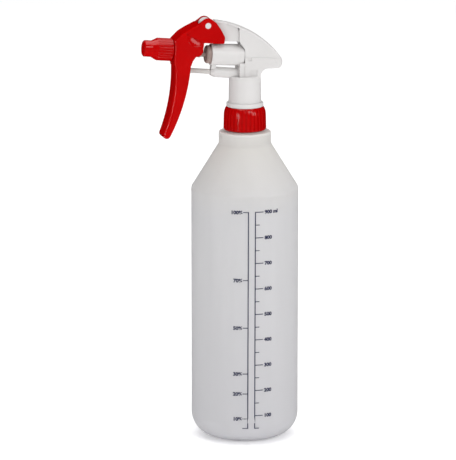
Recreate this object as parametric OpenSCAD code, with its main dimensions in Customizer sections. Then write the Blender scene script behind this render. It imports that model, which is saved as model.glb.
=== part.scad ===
// Hand mister: a one-litre bottle with a screw-on trigger sprayer head.
// Millimetres. Bottle axis on Z, foot ring on Z = 0, nozzle toward -X.

/* [Bottle] */
// outside radius of the barrel
bottle_r = 41; // [36:0.5:50]
// height of the corner between barrel and cone
barrel_top = 194.7; // [150:0.5:230]
// half angle of the conical shoulder
cone_angle = 31.7; // [25:0.5:40]
// radius of the rounded heel
heel_r = 18; // [8:0.5:22]
// height of the pushed-up middle of the base
push_up = 3.5; // [1:0.5:6]
// wall thickness
bottle_wall = 1; // [0.6:0.1:1.6]
// outside radius of the collar under the neck
collar_r = 19.95; // [18:0.05:22]
// height of that collar
collar_h = 9.4; // [6:0.1:14]
// outside radius of the neck at the thread's root
neck_r = 12.6; // [12:0.1:13]
// bore radius of the neck
neck_bore = 10.8; // [9.6:0.1:11]
// height of the neck above the collar
neck_h = 14.7; // [13:0.1:18]

/* [Closure] */
// skirt radius at its lower edge
closure_r = 16.35; // [15.6:0.05:18]
// clearance between the skirt's lower edge and the collar
closure_gap = 1.2; // [1:0.1:4]
// number of grip grooves
closure_grooves = 32; // [24:1:44]
// width of a grip groove
groove_w = 1.2; // [0.6:0.1:1.8]
// depth of a grip groove
groove_d = 0.45; // [0.2:0.05:0.7]
// thickness of the neck gasket
gasket_t = 1.5; // [1:0.1:2.5]
// thickness of the head's flange under the closure
flange_t = 1.5; // [1:0.1:2.5]
// thickness of the closure's top plate
plate_t = 1.2; // [0.9:0.1:2]
// clearance between parts that move past each other
run_gap = 0.3; // [0.2:0.05:0.5]

/* [Stem] */
// radius of the stem at its foot
stem_r = 12.5; // [11.4:0.05:12.6]
// radius of the stem at its top
stem_top_r = 12.05; // [11:0.05:12.2]
// radius of the bead above the closure
bead_r = 14.1; // [13:0.1:15]
// height of that bead
bead_h = 3; // [2:0.1:4]
// height of the stem's top above the neck's rim
stem_h = 28.2; // [27.4:0.1:30]
// radius of the stem's rounded top edge
stem_edge = 1; // [0.5:0.1:1.5]
// wall thickness of the stem
stem_wall = 1.8; // [1.4:0.1:2.2]
// outside radius of the inlet pipe inside the stem
pipe_r = 5.6; // [5.4:0.1:6.4]

/* [Pump] */
// distance of the pump cylinder's front rim ahead of the bottle's axis
pump_reach = 27.3; // [26:0.1:28]
// height of the cylinder's axis at that rim above the neck's rim
pump_rise = 45.7; // [44:0.1:48]
// nose-up tilt of the cylinder
pump_tilt = 3.5; // [0:0.5:6]
// length of the cylinder
cyl_len = 25; // [24:0.1:25.2]
// outside radius at the front rim
cyl_r = 8.1; // [7.9:0.05:8.2]
// draft: how much wider the cylinder is at the back
cyl_draft = 0.2; // [0:0.05:0.3]
// bore radius of the cylinder
bore_r = 7.2; // [6.6:0.05:7.3]
// thickness of the cylinder's back wall
cyl_end = 2; // [1.5:0.1:3]
// length of the piston's barrel
barrel_len = 12; // [10:0.1:14]
// how far the barrel stands out of the cylinder at rest
barrel_out = 3.8; // [2:0.1:5]
// radius of the piston's ball head
ball_head_r = 2.5; // [2:0.1:2.8]
// distance of the ball head ahead of the cylinder's rim at rest
ball_out = 9; // [8.4:0.1:10]

/* [Vent] */
// distance of the vent tube's front ahead of the bottle's axis
vent_reach = 27.3; // [26:0.1:28]
// height of the vent tube's axis there above the neck's rim
vent_rise = 32.4; // [31:0.1:33.5]
// nose-up tilt of the vent tube
vent_tilt = 6; // [2:0.5:8]
// outside radius of the vent tube
vent_r = 4; // [3.6:0.1:4.2]
// bore radius of the vent tube
vent_bore = 2.6; // [2.3:0.05:2.8]
// radius of the vent rod
rod_r = 1.9; // [1.5:0.05:2]
// length of the rod ahead of the tube at rest
rod_out = 21.8; // [20:0.1:23]
// length of the rod inside the tube at rest
rod_in = 6; // [5.5:0.1:6.5]

/* [Trigger] */
// distance of the pivot ahead of the bottle's axis
pivot_reach = 30.5; // [29:0.1:32]
// height of the pivot above the neck's rim
pivot_rise = 68.8; // [67:0.1:71]
// radius of the trunnions
pivot_r = 2.25; // [2:0.05:2.6]
// radial clearance of the ears on the trunnions
pivot_gap = 0.06; // [0.04:0.01:0.1]
// half width over the ears
ear_half = 6.9; // [6.5:0.1:7.4]
// thickness of an ear
ear_t = 2; // [1.6:0.1:2.4]
// half width over the cheeks and the lever
lever_half = 8.2; // [7.6:0.1:9]
// wall thickness of the lever
lever_wall = 1.8; // [1.4:0.1:2.2]
// radius of the lever's rounded front edges
lever_edge = 2.4; // [1:0.1:3]
// radius of the lever's rounded end
lever_tip_r = 2.75; // [2.2:0.05:3.2]
// depth of the scoops below the cheeks
scoop_depth = 2.5; // [1.5:0.1:2.6]
// radius of the lever's finger curve
lever_curve = 133; // [110:1:160]
// radius of the lever's back curve
lever_back_curve = 140; // [120:1:170]

/* [Nozzle] */
// nose-up tilt of the nozzle at rest
nozzle_tilt = 5.5; // [2:0.5:8]
// drop of the nozzle's seat below the pivot
nozzle_drop = 18.2; // [17:0.1:19]
// distance of the nozzle's seat ahead of the pivot
nozzle_fore = 26.8; // [25:0.1:28]
// radius of the nozzle's grip
grip_r = 8.6; // [8:0.05:9]
// length of the grip
grip_len = 11.4; // [10:0.1:13]
// radius of the nozzle's front
tip_r = 6.25; // [5.8:0.05:6.6]
// whole length of the nozzle
nozzle_len = 22.2; // [21.5:0.1:25]
// number of grip ribs
nozzle_ribs = 26; // [18:1:36]
// radius of the spray tube
tube_r = 4.2; // [3.8:0.05:4.4]
// radius of the threaded spigot
spigot_r = 4.9; // [4.6:0.05:5]

/* [Cover] */
// half width of the cover's roof
cover_half = 8.75; // [8.5:0.05:9]
// radius of the roof's long curve
roof_r = 75; // [72:0.5:80]
// sideways crown radius of the roof
crown_r = 40; // [24:1:60]
// radius of the roof's long edges
roof_edge = 0.8; // [0.5:0.1:2]
// depth of the sunk side panels
roof_lip = 0.6; // [0.2:0.05:0.7]
// radius of the side panels' curved upper edge
panel_r = 48.6; // [46:0.1:50]
// least width of the rim between that edge and the roof's curve
panel_rim = 2.3; // [1.8:0.1:3]
// width of the side panels' sloping edge
panel_slope = 1.6; // [0.6:0.1:2]
// wall thickness of the cover
cover_wall = 1.4; // [1.2:0.1:1.8]
// thickness of the strip over the arm
strip_t = 1.6; // [1.2:0.1:2]
// height of the seam above the neck's rim
seam_rise = 43.4; // [40:0.1:44]
// distance of the tail's end behind the bottle's axis
tail_x = 28.3; // [26:0.1:30]
// height of the tail's underside above the neck's rim
tail_rise = 34; // [33:0.1:36]
// radius of the tail's lower rear edge
tail_r = 5.2; // [3:0.1:6]

/* [Tube] */
// outside radius of the dip tube
dip_r = 3; // [2.5:0.1:3.2]
// wall thickness of the dip tube
dip_wall = 0.8; // [0.6:0.1:1]
// clearance between the dip tube's end and the base
dip_clear = 2.5; // [1.5:0.5:8]
// radius of the inlet ball
inlet_ball_r = 2.6; // [2.4:0.05:2.8]
// radius of the discharge ball
out_ball_r = 1.75; // [1.6:0.05:1.9]

/* [Hidden] */
$fn = 64;
eps = 0.5;
fit = 0.05;
white = [0.86, 0.86, 0.85];
red = [0.75, 0.03, 0.05];
natural = [0.8, 0.8, 0.78];
rubber = [0.15, 0.15, 0.15];
steel = [0.7, 0.7, 0.72];

// bottle heights, worked upward from the foot ring
foot_r = bottle_r - heel_r;
foot_in = foot_r * 0.74;
cone_top = barrel_top + (bottle_r - collar_r) / tan(cone_angle);
collar_top = cone_top + collar_h;
rim_z = collar_top + neck_h;
shoulder_r = 5;

// stack of the neck joint
flange_z = rim_z + gasket_t;
plate_z = flange_z + flange_t + run_gap;
closure_top = plate_z + plate_t;
bead_z = closure_top + run_gap;
closure_z = collar_top + closure_gap;
skirt_bore = neck_r + 1.45;
skirt_wall = closure_r - skirt_bore;
flange_r = neck_r + 1;
gasket_r = neck_r + 0.6;

// head stations
pump_z = rim_z + pump_rise;
vent_z = rim_z + vent_rise;
pivot_x = -pivot_reach;
pivot_z = rim_z + pivot_rise;
stem_z = rim_z + stem_h;
seam_z = rim_z + seam_rise;
roof_x = pivot_x - 2.5;
roof_z = pivot_z + 3.9 - roof_r;
arm_half = ear_half - ear_t - run_gap;
wall_half = cover_half - roof_lip;
slot_z = pump_z + cyl_r + 1.9;
panel_x = -6.3;
panel_lean = 26.6;
neck_len = 8;
block_x = -2;
nose_r = 5;

// inlet valve heights, worked upward from the neck joint
holder_z = flange_z + 3.5;
holder_h = 14;
pipe_bore = dip_r + 1.35;
cage_h = 2.2 * inlet_ball_r + 2.4;
ball_seat_r = 1.8;
inlet_ball_z = holder_z + holder_h + sqrt(pow(inlet_ball_r, 2) - pow(ball_seat_r, 2)) + fit;

// line on the trigger, from the pivot, where the ear rises out of the cheek
scoop_front = [-16.3, -6.4];
scoop_back = [-3.5, -13.4];
// how far the lever's front stands behind the nozzle's seat
lever_set = 0.8;

// piston stations along the pump's axis, forward of the front rim
barrel_back = barrel_out - barrel_len;
barrel_r = bore_r - run_gap;
hollow_r = 5.2;
core_r = 3.2;
core_bore = 2.3;
seat_front = barrel_back + 3.3;
out_seat_r = 1.1;
out_ball_s = seat_front + sqrt(pow(out_ball_r, 2) - pow(out_seat_r, 2)) + fit;

// nozzle stations along its own axis, forward of the seat
skirt_back = 0.4;
tip_s = skirt_back + nozzle_len;
spigot_end = 15.2;
flare_end = skirt_back + grip_len + 4.6;
seal_s = 11.8;
seal_r = 0.6;
spinner_r = 2.9;
chamber_end = tip_s - 3.7;

// height of the sloping seam under the cover at a distance x
function seam(x) = seam_z - x * tan(pump_tilt);

function arc(cx, cy, r, from, to, n) =
    [for (i = [0:n]) [cx + r * cos(from + (to - from) * i / n), cy + r * sin(from + (to - from) * i / n)]];

// Local frames: +Z runs forward along the axis and +X points up.
module axis_frame(x, z, tilt) {
    translate([x, 0, z]) rotate([0, tilt - 90, 0]) children();
}

module pump_frame() {
    axis_frame(-pump_reach, pump_z, pump_tilt) children();
}

module vent_frame() {
    axis_frame(-vent_reach, vent_z, vent_tilt) children();
}

module nozzle_frame() {
    axis_frame(pivot_x - nozzle_fore, pivot_z - nozzle_drop, nozzle_tilt) children();
}

// A side outline in X and Z, drawn out evenly to both sides of the middle plane.
module side(width) {
    rotate([90, 0, 0]) linear_extrude(height = width, center = true) children();
}

// A ring or washer standing on local Z.
module ring(outer, inner, height) {
    difference() {
        cylinder(h = height, r = outer);
        translate([0, 0, -eps]) cylinder(h = height + 2 * eps, r = inner);
    }
}

// One unbroken coil along local +Z; the wire's surface is a tube of six sides.
module coil(mean_r, wire_r, length, turns) {
    per_turn = 8;
    sides = 6;
    rings = turns * per_turn;
    rise = length / rings;
    centres = [for (i = [0:rings])
        let (a = 360 * i / per_turn)
        [mean_r * cos(a), mean_r * sin(a), rise * i]];
    gap = min([for (i = [0:rings - per_turn]) norm(centres[i + per_turn] - centres[i])]) - 2 * wire_r;
    echo(str("coil gap ", gap));
    points = [for (i = [0:rings], j = [0:sides - 1])
        let (a = 360 * i / per_turn, b = 360 * j / sides)
        centres[i] + wire_r * [cos(b) * cos(a), cos(b) * sin(a), sin(b)]];
    skin = [for (i = [0:rings - 1], j = [0:sides - 1])
        let (k = (j + 1) % sides, this = i * sides, next = this + sides)
        each [[this + j, this + k, next + k], [this + j, next + k, next + j]]];
    back = [for (j = [1:sides - 2]) [0, j + 1, j]];
    last = rings * sides;
    front = [for (j = [1:sides - 2]) [last, last + j, last + j + 1]];
    polyhedron(points = points, faces = concat(skin, back, front));
}

// Bottle: one blow-moulded shell turned from its wall section.
module bottle() {
    dome = (pow(foot_in, 2) + pow(push_up, 2)) / (2 * push_up);
    dome_a = asin(foot_in / dome);
    w = bottle_wall;
    corner_drop = shoulder_r * tan(cone_angle / 2);
    inner_top = collar_top - 1.2;
    slant = w / cos(cone_angle);
    outside = concat(
        [for (i = [0:4]) [dome * sin(dome_a * i / 4), push_up - dome * (1 - cos(dome_a * i / 4))]],
        arc(foot_r, heel_r, heel_r, -90, 0, 8),
        arc(bottle_r - shoulder_r, barrel_top - corner_drop, shoulder_r, 0, cone_angle, 3),
        [[collar_r, cone_top]],
        arc(collar_r - 1, collar_top - 1, 1, 0, 90, 3),
        [[neck_r, collar_top], [neck_r, rim_z - 0.5], [neck_r - 0.5, rim_z]]);
    inside = concat(
        [[neck_bore, rim_z], [neck_bore, inner_top], [collar_r - w, inner_top]],
        [[collar_r - w, cone_top - (slant - w) / tan(cone_angle)]],
        [[bottle_r - w, barrel_top - (slant - w) / tan(cone_angle)]],
        arc(foot_r, heel_r, heel_r - w, 0, -90, 8),
        [for (i = [4:-1:0]) [dome * sin(dome_a * i / 4), push_up + w - dome * (1 - cos(dome_a * i / 4))]]);
    color(natural) rotate_extrude($fn = 96) polygon(concat(outside, inside));
}

// Neck gasket between the bottle's rim and the head's flange.
module neck_gasket() {
    color(rubber) translate([0, 0, rim_z]) ring(gasket_r, neck_bore, gasket_t);
}

// Closure: ribbed screw cap that turns on the head.
module closure() {
    dome_h = 7.6;
    dome_z = closure_top - 0.92 * dome_h;
    step = 13.4;
    // the shoulder, the lower lip and the grooves leave the skirt its wall
    shoulder = min(3.5, 1.6 * skirt_wall);
    lip = min(1.3, 0.6 * skirt_wall);
    cut = min(groove_d, 0.4 * skirt_wall);
    bend = closure_r - 0.2 - shoulder;
    section = concat(
        [[skirt_bore, closure_z], [closure_r - lip, closure_z]],
        [[closure_r - 0.3 * lip, closure_z + 0.3 * lip], [closure_r, closure_z + lip]],
        [for (i = [0:5]) [bend + shoulder * cos(step * i), dome_z + dome_h * sin(step * i)]],
        [[stem_r + run_gap, closure_top], [stem_r + run_gap, plate_z], [skirt_bore, plate_z]]);
    // a groove's floor follows the skirt and climbs over the shoulder
    groove = concat(
        [[closure_r + 2, closure_z - 1], [closure_r - cut, closure_z - 1]],
        [for (i = [0:4]) [bend + (shoulder - cut) * cos(step * i), dome_z + (dome_h - cut) * sin(step * i)]],
        [[closure_r - 0.4 * shoulder, dome_z + 0.96 * dome_h], [closure_r + 2, dome_z + 0.96 * dome_h]]);
    color(red) difference() {
        rotate_extrude() polygon(section);
        for (i = [0:closure_grooves - 1]) rotate(360 * i / closure_grooves) side(groove_w) polygon(groove);
    }
}

// Cylinder across the head, about the axis of the roof's long curve.
module roof_drum(radius) {
    translate([roof_x, 0, roof_z]) rotate([90, 0, 0])
        cylinder(h = 4 * cover_half, r = radius, center = true, $fn = 120);
}

// Roof: the cover's long curve swept with its crowned section.
module roof(half, inset) {
    top = roof_r - inset;
    edge = max(roof_edge - inset, 0.2);
    flat = half - edge;
    sag = crown_r - sqrt(pow(crown_r, 2) - pow(flat, 2));
    lean = asin(flat / crown_r);
    inner = roof_r - 50;
    section = concat(
        [[inner, -half]],
        arc(top - sag - edge, -flat, edge, -90, -15, 3),
        arc(top - crown_r, 0, crown_r, -lean, lean, 6),
        arc(top - sag - edge, flat, edge, 15, 90, 3),
        [[inner, half]]);
    translate([roof_x, 0, roof_z]) rotate([90, 0, 0]) rotate(20)
        rotate_extrude(angle = 110, $fn = 120) polygon(section);
}

// Plan outline shared by the cover and the tail below it: broad body, narrow strip forward.
module plan() {
    strip_half = arm_half;
    low = rim_z + 20;
    corner = 5;
    front = roof_x + 9;
    waist = panel_x - neck_len;
    translate([0, 0, low]) linear_extrude(height = 80) polygon(concat(
        [[front, -strip_half], [waist, -strip_half], [panel_x, -cover_half]],
        arc(tail_x - corner, -cover_half + corner, corner, -90, 0, 5),
        arc(tail_x - corner, cover_half - corner, corner, 0, 90, 5),
        [[panel_x, cover_half], [waist, strip_half], [front, strip_half]]));
}

// Sunk panels on both sides of the cover and of the tail below it, inside a raised rim.
module side_panels() {
    away = roof_r - panel_rim - panel_r;
    middle = [roof_x + away * sin(panel_lean), roof_z + away * cos(panel_lean)];
    deep_r = panel_r - panel_slope / 2;
    reach = 3 * roof_lip;
    for (s = [-1, 1]) translate([middle[0], s * wall_half, middle[1]])
        rotate([-90 * s, 0, 0]) cylinder(h = reach, r1 = deep_r, r2 = deep_r + 3 * panel_slope, $fn = 120);
}

// Cover: snap-on shell from the strip over the arm to the tail.
module cover() {
    notch_z = pump_z + 3.9;
    above = roof_z + roof_r + 5;
    beyond = tail_x + 5;
    outline = [[roof_x, above], [roof_x, slot_z], [panel_x, slot_z], [block_x, notch_z],
               [block_x, seam(block_x)], [beyond, seam(beyond)], [beyond, above]];
    color(white) difference() {
        intersection() {
            roof(cover_half, 0);
            side(40) polygon(outline);
            plan();
        }
        intersection() {
            roof(wall_half - cover_wall, cover_wall);
            translate([panel_x - eps, -20, rim_z]) cube([tail_x - cover_wall - panel_x + eps, 40, 90]);
        }
        intersection() {
            roof_drum(roof_r - strip_t);
            translate([roof_x - eps, -20, rim_z]) cube([panel_x - roof_x + eps, 40, 90]);
        }
        side_panels();
    }
}

// Tail block under the seam, with the pocket that the cover closes.
module tail_block() {
    underside = rim_z + tail_rise;
    gap = 0.1;
    web_in = 1.75;
    web_x = stem_top_r - web_in;
    web_r = underside - stem_z;
    web_foot = stem_z - 7;
    bay_x = 2.2;
    bay = [5.4, web_r - 1.4];
    notch_x = 0.2;
    notch = [3.2, 2.9];
    sink = 0.6;
    outline = concat(
        [[block_x, web_foot], [web_x - web_in, web_foot]],
        arc(web_x + web_r, stem_z, web_r, 180, 90, 6),
        arc(tail_x - tail_r, underside + tail_r, tail_r, -90, 0, 5),
        [[tail_x, seam(tail_x) - gap], [block_x, seam(block_x) - gap]]);
    difference() {
        intersection() {
            side(2 * cover_half) polygon(outline);
            plan();
            roof_drum(roof_r - roof_edge);
        }
        side_panels();
        translate([stem_top_r, -wall_half + cover_wall, underside + cover_wall])
            cube([tail_x - stem_top_r - tail_r, 2 * (wall_half - cover_wall), 20]);
        // bay beside the web's rib and notch under the seam, on both sides
        for (s = [-1, 1]) translate([0, s * (wall_half + 1 - sink), 0]) {
            translate([bay_x, -1, stem_z + 0.8]) cube([bay[0], 2, bay[1]]);
            translate([notch_x, -1, seam(0) - notch[1]]) cube([notch[0], 2, notch[1] + 1]);
        }
    }
}

// Arm: the spine over the pump that carries the trigger's trunnions.
module arm() {
    web_half = 3.7;
    root_half = wall_half - cover_wall - run_gap;
    root_x = panel_x - 0.7;
    bulkhead = 2.6;
    under = roof_r - strip_t - 0.1;
    spine_back = 10;
    spine_low = seam_z - 2;
    post_x = block_x - 2.6;
    above = pivot_z + 9;
    below = pivot_z - nose_r;
    outline = [[spine_back, spine_low], [spine_back, above], [pivot_x, above], [pivot_x, below],
               [pivot_x + 4, below], [pivot_x + 11, slot_z], [post_x, slot_z], [post_x, spine_low]];
    intersection() {
        roof_drum(under);
        side(2 * web_half) polygon(outline);
    }
    // root that widens toward the panel, and the bulkhead behind the panel's front edge
    intersection() {
        roof_drum(under);
        translate([0, 0, slot_z]) linear_extrude(height = 30) polygon(
            [[root_x - neck_len, -web_half], [root_x, -root_half],
             [root_x, root_half], [root_x - neck_len, web_half]]);
    }
    intersection() {
        roof_drum(roof_r - cover_wall - 2);
        translate([panel_x - 1, -root_half, slot_z]) cube([bulkhead, 2 * root_half, 20]);
    }
    translate([pivot_x, 0, pivot_z]) rotate([90, 0, 0]) {
        cylinder(h = 2 * arm_half, r = nose_r, center = true);
        cylinder(h = 2 * ear_half, r = pivot_r, center = true, $fn = 48);
    }
}

// Pump body: stem, pump cylinder, vent tube, tail block and arm in one moulding.
module pump_body() {
    cyl_back_r = cyl_r + cyl_draft;
    ceiling = stem_z - stem_wall;
    hollow = stem_top_r - stem_wall;
    link_half = 2.6;
    link_t = 3.4;
    post_x = block_x - 3.9;
    post_half = 7.6;
    post_t = 6;
    post_top = pump_z - cyl_r + 1.2;
    bead_edge = 0.6;
    vent_nose = 3;
    vent_len = 22.5;
    vent_deep = 20;
    port_lean = 19;
    stem_section = concat(
        [[0, flange_z], [stem_r, flange_z], [stem_r, bead_z]],
        arc(stem_top_r - stem_edge, stem_z - stem_edge, stem_edge, 0, 90, 4),
        [[0, stem_z]]);
    color(white) difference() {
        union() {
            translate([0, 0, flange_z]) cylinder(h = flange_t, r = flange_r);
            rotate_extrude() polygon(stem_section);
            translate([0, 0, bead_z]) cylinder(h = bead_h - bead_edge, r = bead_r);
            translate([0, 0, bead_z + bead_h - bead_edge])
                cylinder(h = bead_edge, r1 = bead_r, r2 = bead_r - bead_edge);
            pump_frame() translate([0, 0, -cyl_len]) cylinder(h = cyl_len, r1 = cyl_back_r, r2 = cyl_r);
            vent_frame() translate([0, 0, -vent_len]) cylinder(h = vent_len - vent_nose, r = vent_r);
            vent_frame() translate([0, 0, -vent_nose])
                cylinder(h = vent_nose, r1 = vent_r, r2 = rod_r + 0.8);
            vent_frame() translate([rod_r + 0.5, -link_half, -link_t]) cube([6, 2 * link_half, link_t]);
            translate([post_x, -post_half, stem_z - 2])
                cube([post_t, 2 * post_half, post_top - stem_z + 2]);
            tail_block();
            arm();
        }
        difference() {
            translate([0, 0, flange_z - eps]) cylinder(h = ceiling - flange_z + eps, r = hollow);
            translate([0, 0, flange_z]) cylinder(h = ceiling - flange_z + eps, r = pipe_r);
        }
        translate([0, 0, flange_z - eps]) cylinder(h = holder_z - flange_z + eps + 1, r = hollow);
        translate([0, 0, holder_z - eps])
            cylinder(h = holder_h + cage_h + eps, r = pipe_bore, $fn = 48);
        translate([0, 0, holder_z + holder_h + cage_h - 1]) rotate([0, -port_lean, 0])
            cylinder(h = 16.5, r = 1.5, $fn = 32);
        pump_frame() translate([0, 0, -cyl_len + cyl_end]) cylinder(h = cyl_len, r = bore_r);
        vent_frame() translate([0, 0, -vent_deep])
            cylinder(h = vent_deep - vent_nose, r = vent_bore, $fn = 48);
        vent_frame() translate([0, 0, -5]) cylinder(h = 10, r = rod_r + run_gap, $fn = 48);
    }
}

// Trigger in its own frame: the pivot is the origin.
module trigger_frame() {
    translate([pivot_x, 0, pivot_z]) children();
}

// Ear outline, down to the line where the cheek begins.
module ear_outline() {
    polygon(concat(
        arc(0, 0, 5.6, 118, 62, 4),
        [[6.5, 1.8], [10, -3.2], [13.1, -9.2], [13.1, -10.5], [12.7, -13.7], [12, -14.4]],
        [[3.6, -13.7], [-2.5, -13.1], scoop_back, scoop_front, [-18.5, -3.9], [-15, -2], [-7, 1.8]]));
}

// Cheek outline: from the hood's slope past the lobe into the lever.
module cheek_outline() {
    lobe = [-9.5, -17.9];
    polygon(concat(
        [scoop_front, scoop_back],
        arc(lobe[0], lobe[1], 5.4, 8, -95, 6),
        [[-12.3, -26.4], [-13.9, -30.5], [-nozzle_fore + lever_set, -30.5], [-nozzle_fore, -27.5]],
        [[-nozzle_fore, -11], [-25.2, -9.6], [-20.8, -5.4], [-18.5, -3.9]]));
}

// Hood and front wall: the strip that closes the trigger between ears and lever.
module hood_outline() {
    t = lever_wall;
    polygon([[-7, 1.8], [-15, -2], [-18.5, -3.9], [-20.8, -5.4], [-25.2, -9.6], [-nozzle_fore, -11],
             [-nozzle_fore, -27.5], [-nozzle_fore + lever_set, -30.5], [-nozzle_fore + lever_set + t, -30.5],
             [-nozzle_fore + t, -27.5], [-nozzle_fore + t, -11.6],
             [-24, -10.9], [-20, -7], [-14.4, -3.7], [-7.6, 0]]);
}

// Lever blank between its finger curve and its back curve; inset cuts the channel.
module lever_blank(inset) {
    front = [-nozzle_fore + lever_set - lever_curve, -33.1];
    back = [-13.3 - lever_back_curve, -17.1];
    half = lever_half - inset;
    edge = max(lever_edge - inset, 0.6);
    r0 = lever_curve + inset;
    tip = [-32.35, -83.05];
    round_r = max(3 - inset, 0.6);
    section = concat(
        arc(r0 + edge, edge - half, edge, -90, -180, 4),
        arc(r0 + edge, half - edge, edge, 180, 90, 4),
        [[r0 + 20, half], [r0 + 20, -half]]);
    intersection() {
        translate([front[0], 0, front[1]]) rotate([90, 0, 0]) rotate(-26)
            rotate_extrude(angle = 32, $fn = 360) polygon(section);
        translate([back[0], 0, back[1]]) rotate([90, 0, 0])
            cylinder(h = 40, r = lever_back_curve + 3 * inset, center = true, $fn = 360);
        side(40) polygon(concat(
            [[-60, -29.5], [0, -29.5], [0, tip[1] + 3]],
            arc(tip[0], tip[1], lever_tip_r - inset, -15, -195, 8),
            [[-60, tip[1] + 7]]));
        translate([-60, 0, 0]) rotate([90, 0, 90]) linear_extrude(height = 60) polygon(concat(
            [[half, -29.5], [half, tip[1]]],
            arc(half - round_r, tip[1] - lever_tip_r + inset + round_r, round_r, 0, -90, 5),
            arc(round_r - half, tip[1] - lever_tip_r + inset + round_r, round_r, -90, -180, 5),
            [[-half, -29.5]]));
    }
}

// Trigger: ears, cheeks, hood and channel lever, with the nozzle's seat in front.
module trigger() {
    cheek_in = ear_half - ear_t;
    corner = lever_edge;
    color(red) difference() {
        union() {
            trigger_frame() {
                for (s = [-1, 1]) translate([0, s * (ear_half - ear_t / 2), 0]) side(ear_t) ear_outline();
                intersection() {
                    union() {
                        for (s = [-1, 1]) translate([0, s * (lever_half + cheek_in) / 2, 0])
                            side(lever_half - cheek_in) cheek_outline();
                        side(2 * lever_half) hood_outline();
                    }
                    translate([0, 0, -40]) linear_extrude(height = 50) polygon(concat(
                        arc(-nozzle_fore + corner, -lever_half + corner, corner, 180, 270, 4),
                        [[20, -lever_half], [20, lever_half]],
                        arc(-nozzle_fore + corner, lever_half - corner, corner, 90, 180, 4)));
                }
                difference() {
                    lever_blank(0);
                    lever_blank(lever_wall);
                }
                rod_pad();
            }
            nozzle_frame() translate([0, 0, -13]) cylinder(h = 13, r = tube_r + 2, $fn = 48);
        }
        trigger_frame() rotate([90, 0, 0])
            cylinder(h = 40, r = pivot_r + pivot_gap, center = true, $fn = 48);
        nozzle_frame() cylinder(h = 30, r = grip_r + 0.8);
        nozzle_frame() translate([0, 0, -20]) cylinder(h = 40, r = tube_r, $fn = 48);
        trigger_frame() for (s = [-1, 1]) lens_scoop(s);
    }
}

// Lens-shaped scoop that blends the broad cheek into the narrow ear; s is the side.
module lens_scoop(s) {
    middle = (scoop_front + scoop_back) / 2;
    along = (scoop_back - scoop_front) / norm(scoop_back - scoop_front);
    below = [along[1], -along[0]];
    deepest = middle - 2.9 * below;
    from = scoop_front - 4 * along - 0.35 * below;
    to = scoop_back + 4 * along - 0.35 * below;
    mouth = 8.6;
    ball = (pow(mouth, 2) + pow(scoop_depth, 2)) / (2 * scoop_depth);
    // the dish stops just inside the ear's lower edge
    intersection() {
        translate([deepest[0], s * (lever_half - scoop_depth + ball), deepest[1]])
            sphere(r = ball, $fn = 120);
        side(40) polygon([from, to, to + 9 * below, from + 9 * below]);
    }
}

// Pad inside the lever that drives the vent rod.
module rod_pad() {
    pad_gap = 0.25;
    e = -vent_reach - (rod_out + rod_r + pad_gap) * cos(vent_tilt) - pivot_x;
    h = vent_z + (rod_out + rod_r + pad_gap) * sin(vent_tilt) - pivot_z;
    translate([e, 0, h]) rotate([0, vent_tilt, 0]) translate([-1.5, -lever_half + 1, -6.5])
        cube([1.5, 2 * lever_half - 2, 10.5]);
}

// Spray tube: carries the spray from the piston's ball head to the threaded spigot.
module spray_tube() {
    back = -19.5;
    color(natural) difference() {
        nozzle_frame() difference() {
            union() {
                translate([0, 0, back]) cylinder(h = -back + 1, r = tube_r - 0.02, $fn = 48);
                translate([0, 0, 0.02]) cylinder(h = spigot_end - 0.02, r = spigot_r, $fn = 48);
            }
            translate([0, 0, back - eps]) cylinder(h = spigot_end - back + 2 * eps, r = 1.3, $fn = 32);
            translate([0, 0, spigot_end - 4.2]) cylinder(h = 10, r = spinner_r + 0.02, $fn = 48);
        }
        pump_frame() translate([0, 0, ball_out]) sphere(r = ball_head_r + 0.7, $fn = 48);
    }
}

// Spinner: the swirl plug in the spigot's mouth.
module spinner() {
    back = spigot_end - 4.2 + 0.02;
    front = chamber_end - 0.35;
    color(white) nozzle_frame() difference() {
        translate([0, 0, back]) cylinder(h = front - back, r = spinner_r, $fn = 48);
        translate([0, 0, back - eps]) cylinder(h = 3 + eps, r = 1.6, $fn = 32);
        for (i = [0:2]) rotate(120 * i) translate([spinner_r, 0, back - eps])
            cylinder(h = front - back + 2 * eps, r = 0.7, $fn = 16);
        translate([0, 0, front - 0.8]) cylinder(h = 2, r = 1.2, $fn = 32);
    }
}

// Nozzle seal: the ring that rides on the spigot inside the nozzle's skirt.
module nozzle_seal() {
    color(rubber) nozzle_frame() translate([0, 0, seal_s])
        rotate_extrude($fn = 48) translate([spigot_r + 0.06 + seal_r, 0]) circle(r = seal_r, $fn = 24);
}

// Nozzle: the ribbed cap that opens and closes the spray.
module nozzle() {
    groove_r = spigot_r + 2 * seal_r + 0.12;
    skirt_bore = spigot_r + 0.35;
    section = [[skirt_bore, skirt_back], [grip_r - 0.4, skirt_back], [grip_r, skirt_back + 0.4],
               [grip_r, skirt_back + grip_len], [tip_r, flare_end], [tip_r, tip_s - 0.9],
               [tip_r - 0.9, tip_s], [3, tip_s], [0.45, tip_s - 1.4], [0.45, chamber_end],
               [3.8, chamber_end], [3.8, spigot_end + 0.3], [skirt_bore, spigot_end + 0.3],
               [skirt_bore, seal_s + seal_r + fit], [groove_r, seal_s + seal_r + fit],
               [groove_r, seal_s - seal_r - fit], [skirt_bore, seal_s - seal_r - fit]];
    color(red) nozzle_frame() difference() {
        rotate_extrude() polygon(section);
        for (i = [0:nozzle_ribs - 1]) rotate(360 * i / nozzle_ribs)
            translate([grip_r + 0.25, 0, skirt_back + 0.9])
                cylinder(h = grip_len + 3, r = 0.65, $fn = 16);
    }
}

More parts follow.
